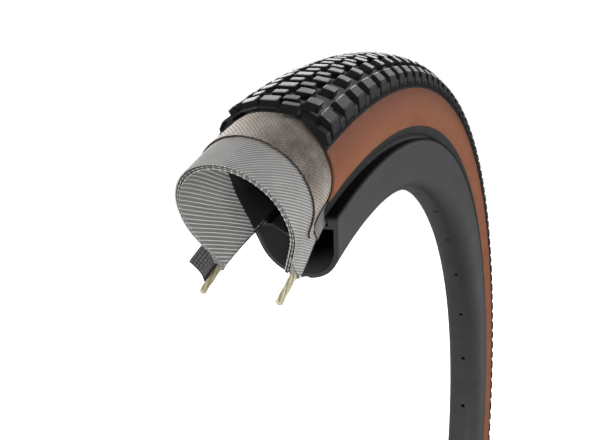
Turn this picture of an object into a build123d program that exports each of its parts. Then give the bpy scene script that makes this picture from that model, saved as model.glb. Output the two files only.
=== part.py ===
from build123d import *
import os
from math import acos, atan2, cos, degrees, hypot, radians, sin, tan

# Cutaway section of a tubeless gravel tyre, mounted on a length of hollow carbon rim.
# The wheel centre is the origin, the axle line is the Y axis and +Z is up. Angles run round
# the wheel from +X towards +Z. The front of the section faces -Y. Lengths are millimetres.
os.makedirs("parts", exist_ok=True)

# Where each layer stops at the stepped end, as angles round the wheel
bead_cord_angle = 123.8
chafer_rear_angle = 122.8
casing_angle = 121.4
breaker_angle = 118.7
chafer_front_angle = 117.7
cover_angle = 115.8
rim_angle = 115.6
liner_angle = 116.2

# Tread blocks repeat in pitches, and the far end is cut flush after a whole number of them
pitches_per_turn = 155
pitch_count = 56
pitch_angle = 360 / pitches_per_turn
end_angle = cover_angle - pitch_count * pitch_angle

# Rim
bead_seat_radius = 311.0
flange_height = 5.0
rim_inner_width = 32.4
rim_outer_width = 41.4
flange_shoulder_height = 2.0
flange_inner_round = 1.6
flange_outer_round = 2.2
rim_depth = 32.9
belly_radius = 18.4
rim_wall = 2.0
bed_wall = 1.4
well_depth = 4.4
well_width = 8.0
seat_width = 6.7
spoke_count = 28
spoke_hole_angle = 51.6
spoke_hole_radius = 2.2
access_hole_radius = 3.4

# Rim tape
tape_thickness = 0.35
tape_edge_gap = 0.3

# Clearances
bond_gap = 0.05
seat_clearance = 0.1

# Beads
bead_cord_radius = 1.3
chafer_thickness = 0.5
chafer_toe_angle = 195.0
turn_up_height = 4.5
filler_height = 4.2

# Casing: its outer face is a round arc over the rim, tangent to a straight leg down to each bead
casing_radius = 22.3
leg_length = 12.6
ply_thickness = 0.8
ply_toe = 1.0
liner_thickness = 0.5
liner_toe = 0.5
breaker_thickness = 0.6
breaker_toe_height = 4.6

# Sidewall rubber, and the dark rubber that protects the bead above the rim flange
sidewall_thickness = 1.1
sidewall_skirt = 1.2
bead_band_thickness = 0.75
bead_band_toe_height = 5.6
chafer_top_gap = 0.3

# Tread: rubber under the blocks, as angle from the crown and thickness over the breaker
tread_edge_angle = 73.0
tread_base = ((0, 1.3), (18.5, 1.4), (34, 1.8), (47, 2.2), (61, 2.6), (tread_edge_angle, 1.3))
tread_inner_flats = 4
block_root = 0.6
block_draft = 7.0

# Tread blocks of one side of one pitch. Each has its place as an angle from the crown and an
# angle round the wheel, the size of its top across the tread and round the wheel, the lean of
# its outer end, and the height of its top over the breaker
pitch_lead = 0.5
centre_wide = dict(crown=9.0, round=0.0, width=6.6, length=4.2, lean=0.5, top=4.3)
centre_narrow = dict(crown=9.8, round=-1.12, width=5.2, length=3.2, lean=0.9, top=4.3)
middle_narrow = dict(crown=22.8, round=-0.55, width=4.6, length=3.2, lean=2.4, top=4.6)
middle_wide = dict(crown=26.9, round=0.43, width=5.2, length=4.4, lean=2.5, top=4.7)
outer_block = dict(crown=38.8, round=-1.13, width=4.4, length=4.4, lean=2.4, top=5.3)

# Shoulder block: its outline in the section, as angle from the crown and height over the
# breaker, then its angle round the wheel and its length round the wheel
shoulder_outline = (
    (47, block_root),
    (48.5, 5.3),
    (54.3, 6.2),
    (69.5, 3.3),
    (72.0, 1.4),
    (70, block_root),
    (58.5, block_root),
)
shoulder_round = -0.95
shoulder_length = 5.6

# Shoulder step: the low block that fills the rest of the pitch between two shoulder blocks
step_outline = (
    (50, block_root),
    (53, 2.9),
    (63, 3.9),
    (70, 2.3),
    (71.5, 1.3),
    (69.5, block_root),
    (60, block_root),
)
step_round = -2.2
step_length = 4.6

# Worked-out places in the section: distance along the axle from the middle, then from the axle
wrap_radius = bead_cord_radius + bond_gap
bead_radius = wrap_radius + ply_thickness + bond_gap + chafer_thickness
bead_centre = (
    rim_inner_width / 2 - seat_clearance - bead_radius,
    bead_seat_radius + seat_clearance + bead_radius,
)
bead_offset = hypot(leg_length, casing_radius + wrap_radius)
casing_centre_radius = bead_centre[1] + (bead_offset**2 - bead_centre[0] ** 2) ** 0.5
casing_centre = (0, casing_centre_radius)
breaker_inner = bond_gap
breaker_outer = breaker_inner + breaker_thickness
cover_inner = breaker_outer + bond_gap
inner_ply_outer = -ply_thickness - bond_gap
inner_ply_inner = inner_ply_outer - ply_thickness
liner_outer = inner_ply_inner - bond_gap
liner_inner = liner_outer - liner_thickness

bead_direction = atan2(bead_centre[1] - casing_centre_radius, bead_centre[0])
leg_normal = degrees(bead_direction + acos((casing_radius + wrap_radius) / bead_offset))
breaker_leg = leg_length - breaker_toe_height
bead_band_leg = leg_length - bead_band_toe_height
flange_radius = bead_seat_radius + flange_height
spoke_bed_radius = flange_radius - rim_depth


def polar(centre, radius, angle):
    """Point at this radius and angle from a centre in the section."""
    return (
        centre[0] + radius * cos(radians(angle)),
        centre[1] + radius * sin(radians(angle)),
    )


def leg_point(outset, run):
    """Point on the right-hand leg, at an outset from the casing and a run below its arc."""
    start = polar(casing_centre, casing_radius + outset, leg_normal)
    return polar(start, run, leg_normal - 90)


def mirrored(point):
    """The same point on the rear side of the section."""
    return (-point[0], point[1])


def section_plane(angle):
    """Plane through the axle at this angle: local X along the axle, local Y away from it."""
    outward = Vector(cos(radians(angle)), 0, sin(radians(angle)))
    axle = Vector(0, 1, 0)
    return Plane(origin=(0, 0, 0), x_dir=axle, z_dir=axle.cross(outward))


def layer_section(inner, outer, leg):
    """Closed outline of a layer from bead to bead, between two outsets from the casing."""
    arc_size = 180 - 2 * leg_normal
    for outset in (inner, outer):
        CenterArc(casing_centre, casing_radius + outset, leg_normal, arc_size)
        top, low = leg_point(outset, 0), leg_point(outset, leg)
        Line(top, low)
        Line(mirrored(top), mirrored(low))
    toe_inner, toe_outer = leg_point(inner, leg), leg_point(outer, leg)
    Line(toe_inner, toe_outer)
    Line(mirrored(toe_inner), mirrored(toe_outer))


def finish(part, name):
    """Name the piece and write it."""
    part.label = name
    export_step(part, f"parts/{name}.step")


# Layers that run straight from bead to bead
layers = {
    "inner_liner": (liner_inner, liner_outer, leg_length + liner_toe, liner_angle),
    "inner_casing_ply": (inner_ply_inner, inner_ply_outer, leg_length + ply_toe, casing_angle),
    "breaker_ply": (breaker_inner, breaker_outer, breaker_leg, breaker_angle),
}
for name, (inner, outer, leg, start_angle) in layers.items():
    with BuildPart() as layer:
        with BuildSketch(section_plane(start_angle)):
            with BuildLine():
                layer_section(inner, outer, leg)
            make_face()
        revolve(axis=Axis.Y, revolution_arc=start_angle - end_angle)
    finish(layer.part, name)

# Outer casing ply: each end is turned up round its bead cord
turn_start = leg_normal + 180
with BuildPart() as outer_casing_ply:
    with BuildSketch(section_plane(casing_angle)):
        with BuildLine():
            for outset in (-ply_thickness, 0):
                wrap = wrap_radius - outset
                leg_top = (bead_centre[0] + wrap, bead_centre[1] + turn_up_height)
                leg_foot = (bead_centre[0] + wrap, bead_centre[1])
                arc_size = 180 - 2 * leg_normal
                CenterArc(casing_centre, casing_radius + outset, leg_normal, arc_size)
                Line(leg_point(outset, 0), leg_point(outset, leg_length))
                CenterArc(bead_centre, wrap, turn_start, 360 - turn_start)
                Line(leg_foot, leg_top)
                Line(mirrored(leg_point(outset, 0)), mirrored(leg_point(outset, leg_length)))
                CenterArc(mirrored(bead_centre), wrap, 180, 360 - turn_start)
                Line(mirrored(leg_foot), mirrored(leg_top))
            top_inner = (bead_centre[0] + wrap_radius, bead_centre[1] + turn_up_height)
            top_outer = (top_inner[0] + ply_thickness, top_inner[1])
            Line(top_inner, top_outer)
            Line(mirrored(top_inner), mirrored(top_outer))
        make_face()
    revolve(axis=Axis.Y, revolution_arc=casing_angle - end_angle)
finish(outer_casing_ply.part, "outer_casing_ply")

# Pieces that come in pairs: the front one faces -Y and the rear one is its mirror image
chafer_inner = bead_radius - chafer_thickness
band_inner = cover_inner + chafer_thickness + bond_gap
band_outer = band_inner + bead_band_thickness
sidewall_outer = cover_inner + sidewall_thickness
sidewall_top_angle = 90 - tread_edge_angle - degrees(bond_gap / casing_radius)
chafer_top = sidewall_skirt + chafer_top_gap


def leg_crossing(outset, across):
    """Point where the leg at this outset is at this distance along the axle."""
    top = leg_point(outset, 0)
    run = (top[0] - across) / cos(radians(leg_normal + 90))
    return leg_point(outset, run)


for side, front in (("front", -1), ("rear", 1)):
    # Bead cord: a round bundle of aramid strands
    with BuildPart() as bead_cord:
        with BuildSketch(section_plane(bead_cord_angle)):
            with Locations((front * bead_centre[0], bead_centre[1])):
                Circle(bead_cord_radius)
        revolve(axis=Axis.Y, revolution_arc=bead_cord_angle - end_angle)
    finish(bead_cord.part, f"bead_cord_{side}")

    # Bead filler: a small rubber wedge over the cord, between the casing's leg and its turn-up
    with BuildPart() as bead_filler:
        with BuildSketch(section_plane(casing_angle)):
            with BuildLine():
                face = bead_centre[0] + wrap_radius - bond_gap
                Polyline(
                    leg_crossing(bond_gap, face),
                    leg_point(bond_gap, leg_length),
                    bead_centre,
                    (face, bead_centre[1]),
                    close=True,
                )
            make_face()
            with Locations(bead_centre):
                Circle(wrap_radius, mode=Mode.SUBTRACT)
            with Locations((bead_centre[0], bead_centre[1] + filler_height)):
                Rectangle(
                    2 * casing_radius,
                    casing_radius,
                    align=(Align.CENTER, Align.MIN),
                    mode=Mode.SUBTRACT,
                )
            if side == "front":
                mirror(about=Plane.YZ, mode=Mode.REPLACE)
        revolve(axis=Axis.Y, revolution_arc=casing_angle - end_angle)
    finish(bead_filler.part, f"bead_filler_{side}")

    # Chafer: a woven strip under the bead, up its outer side and out over the breaker
    chafer_angle = chafer_front_angle if side == "front" else chafer_rear_angle
    with BuildPart() as chafer:
        with BuildSketch(section_plane(chafer_angle)):
            with BuildLine():
                for radius, outset in (
                    (chafer_inner, cover_inner),
                    (bead_radius, cover_inner + chafer_thickness),
                ):
                    foot = (bead_centre[0] + radius, bead_centre[1])
                    bend = leg_crossing(outset, foot[0])
                    CenterArc(bead_centre, radius, chafer_toe_angle, 360 - chafer_toe_angle)
                    Polyline(foot, bend, leg_point(outset, chafer_top))
                toe_inner = polar(bead_centre, chafer_inner, chafer_toe_angle)
                toe_outer = polar(bead_centre, bead_radius, chafer_toe_angle)
                Line(toe_inner, toe_outer)
                Line(
                    leg_point(cover_inner, chafer_top),
                    leg_point(cover_inner + chafer_thickness, chafer_top),
                )
            make_face()
            if side == "front":
                mirror(about=Plane.YZ, mode=Mode.REPLACE)
        revolve(axis=Axis.Y, revolution_arc=chafer_angle - end_angle)
    finish(chafer.part, f"chafer_{side}")

    # Sidewall rubber: from the tread's edge down over the round of the casing
    with BuildPart() as sidewall:
        with BuildSketch(section_plane(cover_angle)):
            with BuildLine():
                for outset in (cover_inner, sidewall_outer):
                    arc_size = sidewall_top_angle - leg_normal
                    CenterArc(casing_centre, casing_radius + outset, leg_normal, arc_size)
                    Line(leg_point(outset, 0), leg_point(outset, sidewall_skirt))
                Line(
                    leg_point(cover_inner, sidewall_skirt),
                    leg_point(sidewall_outer, sidewall_skirt),
                )
                Line(
                    polar(casing_centre, casing_radius + cover_inner, sidewall_top_angle),
                    polar(casing_centre, casing_radius + sidewall_outer, sidewall_top_angle),
                )
            make_face()
            if side == "front":
                mirror(about=Plane.YZ, mode=Mode.REPLACE)
        revolve(axis=Axis.Y, revolution_arc=cover_angle - end_angle)
    finish(sidewall.part, f"sidewall_{side}")

    # Bead band: dark rubber between the sidewall and the rim flange
    with BuildPart() as bead_band:
        with BuildSketch(section_plane(cover_angle)):
            with BuildLine():
                Polyline(
                    leg_point(band_inner, sidewall_skirt + bond_gap),
                    leg_point(band_outer, sidewall_skirt + bond_gap),
                    leg_point(band_outer, bead_band_leg),
                    leg_point(band_inner, bead_band_leg),
                    close=True,
                )
            make_face()
            if side == "front":
                mirror(about=Plane.YZ, mode=Mode.REPLACE)
        revolve(axis=Axis.Y, revolution_arc=cover_angle - end_angle)
    finish(bead_band.part, f"bead_band_{side}")


# Tread: one pitch of flat-faced rubber with its blocks, repeated round the section
def crown_point(outset, angle):
    """Point at an outset from the casing and an angle down from the crown."""
    return polar(casing_centre, casing_radius + outset, 90 - angle)


def block_plane(block, side, shift):
    """Plane of a block's root: local X round the wheel, local Z the way its top faces."""
    angle = radians(cover_angle - pitch_lead + block["round"] + shift)
    outward = Vector(cos(angle), 0, sin(angle))
    forward = Vector(-sin(angle), 0, cos(angle))
    crown = radians(block["crown"])
    face = outward * cos(crown) + Vector(0, side, 0) * sin(crown)
    depth = casing_radius + breaker_outer + block_root
    return Plane(origin=outward * casing_centre_radius + face * depth, x_dir=forward, z_dir=face)


def block_outline(block, side):
    """Corners of a block's root: its top, spread by the draft, with the outer end swept back."""
    spread = (block["top"] - block_root) * tan(radians(block_draft))
    half_width = block["width"] / 2 + spread
    half_length = block["length"] / 2 + spread
    sweep = side * block["lean"] / 2
    return (
        (-half_length - sweep, -half_width),
        (half_length - sweep, -half_width),
        (half_length + sweep, half_width),
        (-half_length + sweep, half_width),
    )


blocks = (
    (centre_wide, 0),
    (centre_narrow, 0),
    (middle_narrow, 0),
    (middle_wide, 0),
    (middle_wide, -pitch_angle),
    (outer_block, 0),
)
flat_angle = tread_edge_angle / tread_inner_flats
inner_outset = (casing_radius + cover_inner) / cos(radians(flat_angle / 2)) - casing_radius
pitch_reach = (casing_centre_radius + 2 * casing_radius) * tan(radians(pitch_angle))
with BuildPart() as tread_pitch:
    with BuildSketch(section_plane(cover_angle - pitch_angle / 2)):
        with BuildLine():
            outside = [crown_point(breaker_outer + rubber, angle) for angle, rubber in tread_base]
            inside = [
                crown_point(inner_outset, flat_angle * step)
                for step in range(tread_inner_flats + 1)
            ]
            Polyline(*outside, *reversed(inside), close=True)
        make_face()
        mirror(about=Plane.YZ)
    extrude(amount=pitch_reach, both=True)
    for block, shift in blocks:
        for side in (-1, 1):
            with BuildSketch(block_plane(block, side, shift)):
                Polygon(*block_outline(block, side), align=None)
            extrude(amount=block["top"] - block_root, taper=block_draft)
    for outline, turn, length in (
        (shoulder_outline, shoulder_round, shoulder_length),
        (step_outline, step_round, step_length),
        (step_outline, step_round + pitch_angle, step_length),
    ):
        with BuildSketch(section_plane(cover_angle - pitch_lead + turn)):
            corners = [crown_point(breaker_outer + height, angle) for angle, height in outline]
            Polygon(*reversed(corners), align=None)
            mirror(about=Plane.YZ)
        extrude(amount=length / 2, both=True)
    split(bisect_by=section_plane(cover_angle), keep=Keep.TOP)
    split(bisect_by=section_plane(cover_angle - pitch_angle), keep=Keep.BOTTOM)

with BuildPart() as tread:
    add([tread_pitch.part.rotate(Axis.Y, step * pitch_angle) for step in range(pitch_count)])
finish(tread.part, "tread")


# Rim: a hollow rounded channel with hookless flanges, a well in its bed and radial spoke holes
def tangent_angle(radius, point):
    """Angle at the belly's centre of the low tangent point of a line from a point outside."""
    across, up = point[0] - belly_centre[0], point[1] - belly_centre[1]
    return degrees(atan2(up, across) - acos(radius / hypot(across, up)))


def belly_line(radius, point):
    """Half of the rounded belly, then the tangent wall up to the point."""
    angle = tangent_angle(radius, point)
    CenterArc(belly_centre, radius, -90, angle + 90)
    Line(polar(belly_centre, radius, angle), point)


belly_centre = (0, spoke_bed_radius + belly_radius)
seat_edge = rim_inner_width / 2 - seat_width
well_radius = bead_seat_radius - well_depth
shoulder = (rim_outer_width / 2, bead_seat_radius + flange_shoulder_height)
wall_lean = radians(tangent_angle(belly_radius, shoulder))
cavity_top = bead_seat_radius - bed_wall
cavity_shoulder = (
    shoulder[0] - rim_wall * cos(wall_lean) + (shoulder[1] - cavity_top) * tan(wall_lean),
    cavity_top,
)
slope_shift = bed_wall * tan(atan2(well_depth, seat_edge - well_width / 2) / 2)
with BuildPart() as rim:
    with BuildSketch(section_plane(rim_angle)) as rim_section:
        with BuildLine():
            belly_line(belly_radius, shoulder)
            Polyline(
                shoulder,
                (rim_outer_width / 2, flange_radius),
                (rim_inner_width / 2, flange_radius),
                (rim_inner_width / 2, bead_seat_radius),
                (seat_edge, bead_seat_radius),
                (well_width / 2, well_radius),
                (0, well_radius),
                (0, spoke_bed_radius),
            )
        make_face()
        flange_corners = rim_section.vertices().group_by(Axis.Y)[-1].sort_by(Axis.X)
        fillet(flange_corners[0], flange_inner_round)
        fillet(flange_corners[-1], flange_outer_round)
        with BuildLine():
            belly_line(belly_radius - rim_wall, cavity_shoulder)
            Polyline(
                cavity_shoulder,
                (seat_edge - slope_shift, cavity_top),
                (well_width / 2 - slope_shift, well_radius - bed_wall),
                (0, well_radius - bed_wall),
                (0, spoke_bed_radius + rim_wall),
            )
        make_face(mode=Mode.SUBTRACT)
        mirror(about=Plane.YZ)
    revolve(axis=Axis.Y, revolution_arc=rim_angle - end_angle)
    spoke_pitch = 360 / spoke_count
    first_hole = spoke_hole_angle + spoke_pitch * ((rim_angle - spoke_hole_angle) // spoke_pitch + 1)
    hole_count = int((first_hole - end_angle) // spoke_pitch) + 1
    for step in range(hole_count):
        angle = radians(first_hole - step * spoke_pitch)
        outward = Vector(cos(angle), 0, sin(angle))
        with BuildSketch(Plane(origin=outward * belly_centre[1], z_dir=outward)):
            Circle(spoke_hole_radius)
        extrude(amount=-belly_radius - rim_wall, mode=Mode.SUBTRACT)
        with BuildSketch(Plane(origin=outward * belly_centre[1], z_dir=outward)):
            Circle(access_hole_radius)
        extrude(amount=well_radius - belly_centre[1] + bed_wall, mode=Mode.SUBTRACT)
finish(rim.part, "rim")

# Rim tape: seals the well and the access holes between the bead seats
tape_bottom = (
    (0, well_radius + bond_gap),
    (well_width / 2, well_radius + bond_gap),
    (seat_edge - tape_edge_gap, bead_seat_radius + bond_gap),
)
with BuildPart() as rim_tape:
    with BuildSketch(section_plane(rim_angle)):
        with BuildLine():
            tape_top = [(across, up + tape_thickness) for across, up in reversed(tape_bottom)]
            Polyline(*tape_bottom, *tape_top, close=True)
        make_face()
        mirror(about=Plane.YZ)
    revolve(axis=Axis.Y, revolution_arc=rim_angle - end_angle)
finish(rim_tape.part, "rim_tape")
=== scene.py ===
import math

import bmesh
import bpy
import numpy as np
from mathutils import Matrix, Vector


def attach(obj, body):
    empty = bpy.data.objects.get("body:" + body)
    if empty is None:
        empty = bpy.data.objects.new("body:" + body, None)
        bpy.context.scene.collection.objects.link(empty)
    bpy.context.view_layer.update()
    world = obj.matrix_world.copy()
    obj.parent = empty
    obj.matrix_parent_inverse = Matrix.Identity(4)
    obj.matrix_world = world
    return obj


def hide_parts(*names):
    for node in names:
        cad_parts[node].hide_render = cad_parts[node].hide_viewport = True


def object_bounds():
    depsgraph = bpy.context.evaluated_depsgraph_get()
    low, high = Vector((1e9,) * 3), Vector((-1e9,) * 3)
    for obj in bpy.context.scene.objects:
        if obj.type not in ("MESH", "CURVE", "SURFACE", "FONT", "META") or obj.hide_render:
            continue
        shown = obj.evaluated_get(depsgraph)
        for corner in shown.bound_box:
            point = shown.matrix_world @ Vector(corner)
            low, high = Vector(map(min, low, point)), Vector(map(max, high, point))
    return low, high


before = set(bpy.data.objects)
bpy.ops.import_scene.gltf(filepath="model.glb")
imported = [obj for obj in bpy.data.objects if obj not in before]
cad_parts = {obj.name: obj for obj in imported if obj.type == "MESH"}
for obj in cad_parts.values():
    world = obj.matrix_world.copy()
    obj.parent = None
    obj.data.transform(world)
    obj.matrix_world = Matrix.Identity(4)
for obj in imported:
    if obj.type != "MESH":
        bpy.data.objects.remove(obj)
cad_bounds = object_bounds()

# ---- sizes, in millimetres and degrees but where noted
MM = 0.001
AXLE = np.array((0, 1, 0))
SAME_POINT = 1e-6
MERGE_DISTANCE = 1e-6  # metres
CURVE_POINTS = 14
PITCHES_PER_TURN = 155
PITCH_COUNT = 56
PITCH_ANGLE = 360 / PITCHES_PER_TURN
BEAD_CORD_ANGLE = 123.8
CHAFER_REAR_ANGLE = 122.8
CASING_ANGLE = 121.4
BREAKER_ANGLE = 118.7
CHAFER_FRONT_ANGLE = 117.7
LINER_ANGLE = 116.2
COVER_ANGLE = 115.8
END_ANGLE = COVER_ANGLE - PITCH_COUNT * PITCH_ANGLE

CASING_RADIUS = 22.3
LEG_LENGTH = 12.6
PLY_THICKNESS = 0.8
BEAD_CORD_RADIUS = 1.3
BOND_GAP = 0.05
CHAFER_THICKNESS = 0.5
CHAFER_TOE_ANGLE = 195.0
TURN_UP_HEIGHT = 4.5
FILLER_HEIGHT = 4.2
SIDEWALL_THICKNESS = 1.1
SIDEWALL_SKIRT = 1.2
BREAKER_LEG = LEG_LENGTH - 4.6
TREAD_EDGE = 73.0
WRAP_RADIUS = BEAD_CORD_RADIUS + BOND_GAP
BEAD_RADIUS = WRAP_RADIUS + PLY_THICKNESS + BOND_GAP + CHAFER_THICKNESS
RIM_INNER_WIDTH = 32.4
BEAD_SEAT_RADIUS = 311.0
SEAT_GAP = 0.1
BEAD = np.array((
    RIM_INNER_WIDTH / 2 - SEAT_GAP - BEAD_RADIUS, BEAD_SEAT_RADIUS + SEAT_GAP + BEAD_RADIUS
))
BEAD_OFFSET = math.hypot(LEG_LENGTH, CASING_RADIUS + WRAP_RADIUS)
CASING_CENTRE = BEAD[1] + math.sqrt(BEAD_OFFSET ** 2 - BEAD[0] ** 2)
LEG_NORMAL = math.degrees(
    math.atan2(BEAD[1] - CASING_CENTRE, BEAD[0])
    + math.acos((CASING_RADIUS + WRAP_RADIUS) / BEAD_OFFSET)
)
BREAKER_INNER = 0.05
BREAKER_OUTER = 0.65
COVER_INNER = 0.7

# The casing's cut end is spread open at the beads: the angle where this starts, the radius below
# which it acts, and how far each side moves at the bead
SPLAY_START = 115.6
SPLAY_TOP = 339.0
SPLAY_FRONT, SPLAY_REAR = -3.0, 1.9
SPLAY_MOST = 1.15
SPLAY_POWER = 1.3


def lengths_along(points):
    """Length along a line of points up to each of them."""
    return np.concatenate([[0], np.cumsum(np.linalg.norm(np.diff(points, axis=0), axis=1))])


def to_world(theta, radius, across):
    """World place, in metres, from an angle round the wheel and a place in its section."""
    t = np.radians(theta)
    return np.stack([radius * np.cos(t), across + 0 * t, radius * np.sin(t)], axis=-1) * MM


def splay(theta, radius, across):
    """Axle offset of a casing layer once its cut end is spread open."""
    ease = np.clip((theta - SPLAY_START) / (CASING_ANGLE - SPLAY_START), 0, 1)
    grow = ease * ease * (3 - 2 * ease)
    low = np.clip((SPLAY_TOP - radius) / (SPLAY_TOP - BEAD[1]), 0, SPLAY_MOST) ** SPLAY_POWER
    return across + np.where(across < 0, SPLAY_FRONT, SPLAY_REAR) * grow * low


class Path:
    """A line in the section with its normals; its run is measured from its middle, in mm."""

    def __init__(self, pieces):
        points, normals = zip(*pieces)
        self.points = np.concatenate(points)
        self.normals = np.concatenate(normals)
        keep = np.diff(lengths_along(self.points), prepend=-1) > SAME_POINT
        self.points, self.normals = self.points[keep], self.normals[keep]
        self.run = lengths_along(self.points)
        self.run -= self.run[-1] / 2

    def at(self, run, outset):
        """Axle offset and radius at a run along the line and an outset from it."""
        across = np.interp(run, self.run, self.points[:, 0])
        radius = np.interp(run, self.run, self.points[:, 1])
        across = across + outset * np.interp(run, self.run, self.normals[:, 0])
        radius = radius + outset * np.interp(run, self.run, self.normals[:, 1])
        return across, radius


def arc_piece(centre, radius, start, stop, sign=1.0, step=4.0):
    """Arc of the section between two angles, its normals outward, or inward with sign -1."""
    count = max(3, int(abs(stop - start) / step) + 1)
    angles = np.radians(np.linspace(start, stop, count))
    outward = np.stack([np.cos(angles), np.sin(angles)], axis=-1)
    return np.asarray(centre) + radius * outward, sign * outward


def line_piece(start, stop, normal):
    return np.array([start, stop], dtype=float), np.array([normal, normal], dtype=float)


def curve_piece(start, start_pull, stop_pull, stop):
    """Smooth curve in the section between two points, from two points that pull it."""
    t = np.linspace(0, 1, CURVE_POINTS)[:, None]
    a, b, c, d = (np.asarray(p, dtype=float) for p in (start, start_pull, stop_pull, stop))
    points = a * (1 - t) ** 3 + 3 * b * t * (1 - t) ** 2 + 3 * c * t * t * (1 - t) + d * t ** 3
    along = np.gradient(points, axis=0)
    along /= np.linalg.norm(along, axis=1)[:, None]
    return points, np.stack([-along[:, 1], along[:, 0]], axis=-1)


def flip(piece):
    """The same piece on the other side of the section, run the other way."""
    points, normals = piece
    return points[::-1] * (-1, 1), normals[::-1] * (-1, 1)


def unit(angle):
    """Direction in the section, from an angle measured from the axle toward the tread."""
    return np.array((math.cos(math.radians(angle)), math.sin(math.radians(angle))))


CENTRE = np.array((0.0, CASING_CENTRE))
LEG_NORMAL_VECTOR = unit(LEG_NORMAL)
LEG_DOWN = unit(LEG_NORMAL - 90)
LEG_TOP = CENTRE + CASING_RADIUS * LEG_NORMAL_VECTOR
CROWN_ARC = arc_piece(CENTRE, CASING_RADIUS, 90, LEG_NORMAL)


def symmetric(side_pieces):
    """A path from the front to the rear from the pieces of its rear half, crown first."""
    return Path([flip(p) for p in reversed(side_pieces)] + list(side_pieces))


def casing_side(leg):
    """Rear half of the casing's line: the arc from the crown and a straight leg."""
    return [CROWN_ARC, line_piece(LEG_TOP, LEG_TOP + leg * LEG_DOWN, LEG_NORMAL_VECTOR)]


def casing_path(leg):
    return symmetric(casing_side(leg))


SKIN_RUN = 4.4
HEEL_ANGLE = 12.0
LOW_PULL = 2.4
HEEL_PULL = 2.6
SKIN_END_ANGLE = -110


def bead_skin(outset, radius, last_angle, start_run=0.0):
    """Line down the leg, out over the bead's filler, round its heel and under it."""
    top = LEG_TOP + outset * LEG_NORMAL_VECTOR + start_run * LEG_DOWN
    low = LEG_TOP + outset * LEG_NORMAL_VECTOR + SKIN_RUN * LEG_DOWN
    heel = BEAD + radius * unit(HEEL_ANGLE)
    return [
        line_piece(top, low, LEG_NORMAL_VECTOR),
        curve_piece(
            low, low + LOW_PULL * LEG_DOWN, heel + HEEL_PULL * unit(HEEL_ANGLE + 90), heel
        ),
        arc_piece(BEAD, radius, HEEL_ANGLE, last_angle, 1.0, 8),
    ]


skin_side = bead_skin(0.0, WRAP_RADIUS + PLY_THICKNESS, SKIN_END_ANGLE)
skin_path = symmetric([CROWN_ARC] + skin_side)
outer_ply_path = symmetric(
    casing_side(LEG_LENGTH)
    + [
        arc_piece(BEAD, WRAP_RADIUS, LEG_NORMAL + 180, 360, -1.0, 12),
        line_piece(BEAD + (WRAP_RADIUS, 0), BEAD + (WRAP_RADIUS, TURN_UP_HEIGHT), (-1.0, 0.0)),
    ]
)


def new_object(name, data):
    obj = bpy.data.objects.new(name, data)
    bpy.context.scene.collection.objects.link(obj)
    return obj


class Builder:
    """Collects grids of faces for one piece, with distances in millimetres kept as UVs.

    open_end is for a layer whose cut end is spread open.
    """

    def __init__(self, open_end=False):
        self.open_end = open_end
        self.verts, self.faces, self.uvs, self.slots = [], [], [], []
        self.count = 0

    def points(self, world, uv):
        """Adds points and returns the index of the first."""
        start = self.count
        self.verts.append(world.reshape(-1, 3))
        self.uvs.append(uv.reshape(-1, 2))
        self.count += len(self.verts[-1])
        return start

    def grid(self, theta, across, radius, slot, run=None):
        """Quads over a grid of section places, ring by ring."""
        theta, across, radius = np.broadcast_arrays(theta, across, radius)
        if self.open_end:
            across = splay(theta, radius, across)
        run = np.broadcast_to(across if run is None else run, theta.shape)
        length = np.radians(theta) * CASING_CENTRE
        self.world_grid(to_world(theta, radius, across), np.stack([run, length], -1), slot)

    def path_grid(self, theta, path, run, outset, slot, side=1):
        """Quads over runs and outsets along a path, mirrored by side."""
        across, radius = path.at(run, outset)
        self.grid(theta, side * across, radius, slot, run)

    def world_grid(self, world, uv, slot):
        start = self.points(world, uv)
        rings, columns = world.shape[:2]
        index = start + np.arange(rings * columns).reshape(rings, columns)
        quads = np.stack([index[:-1, :-1], index[:-1, 1:], index[1:, 1:], index[1:, :-1]], -1)
        self.faces.extend(map(tuple, quads.reshape(-1, 4).tolist()))
        self.slots.extend(np.broadcast_to(slot, (rings - 1, columns - 1)).reshape(-1).tolist())

    def polygon(self, world, slot):
        start = self.points(world, np.zeros((len(world), 2)))
        self.faces.append(tuple(range(start, start + len(world))))
        self.slots.append(slot)

    def make(self, name, materials, sharp=35):
        """The object, with edges sharper than an angle kept sharp."""
        mesh = bpy.data.meshes.new(name)
        mesh.from_pydata(np.concatenate(self.verts).tolist(), [], self.faces)
        uv_layer = mesh.uv_layers.new(name="run")
        uvs = np.concatenate(self.uvs)
        loops = np.empty(len(mesh.loops), dtype=np.int32)
        mesh.loops.foreach_get("vertex_index", loops)
        uv_layer.data.foreach_set("uv", uvs[loops].astype(np.float32).ravel())
        mesh.polygons.foreach_set("material_index", np.array(self.slots, dtype=np.int32))
        work = bmesh.new()
        work.from_mesh(mesh)
        bmesh.ops.remove_doubles(work, verts=work.verts, dist=MERGE_DISTANCE)
        bmesh.ops.dissolve_degenerate(work, dist=MERGE_DISTANCE, edges=work.edges)
        bmesh.ops.recalc_face_normals(work, faces=work.faces)
        work.to_mesh(mesh)
        work.free()
        mesh.polygons.foreach_set("use_smooth", [True] * len(mesh.polygons))
        mesh.set_sharp_from_angle(angle=math.radians(sharp))
        for mat in materials:
            mesh.materials.append(mat)
        return new_object(name, mesh)


# ---- materials
# Painted shade over the casing's front shoulder: where it starts, is full, fades and ends, as runs
# across the casing
SHADE_START_RUN, SHADE_FULL_RUN = 10.0, -14.0
SHADE_FADE_RUN, SHADE_BEAD_RUN = -31.0, -42.0
SHADE_AT_BEAD = 0.4
# In metres from the wheel's axle
TAN_SHADE_RADII = (0.322, 0.350)
FLANGE_SHADOW_RADII = (0.3132, 0.3152)
MOULD_RING_PITCH = 0.0011


def set_inputs(tree, n, inputs):
    """Sets each input of a node to a constant or links it to another node's socket."""
    for key, value in inputs.items():
        if isinstance(value, bpy.types.NodeSocket):
            tree.links.new(value, n.inputs[key])
        else:
            n.inputs[key].default_value = value


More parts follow.
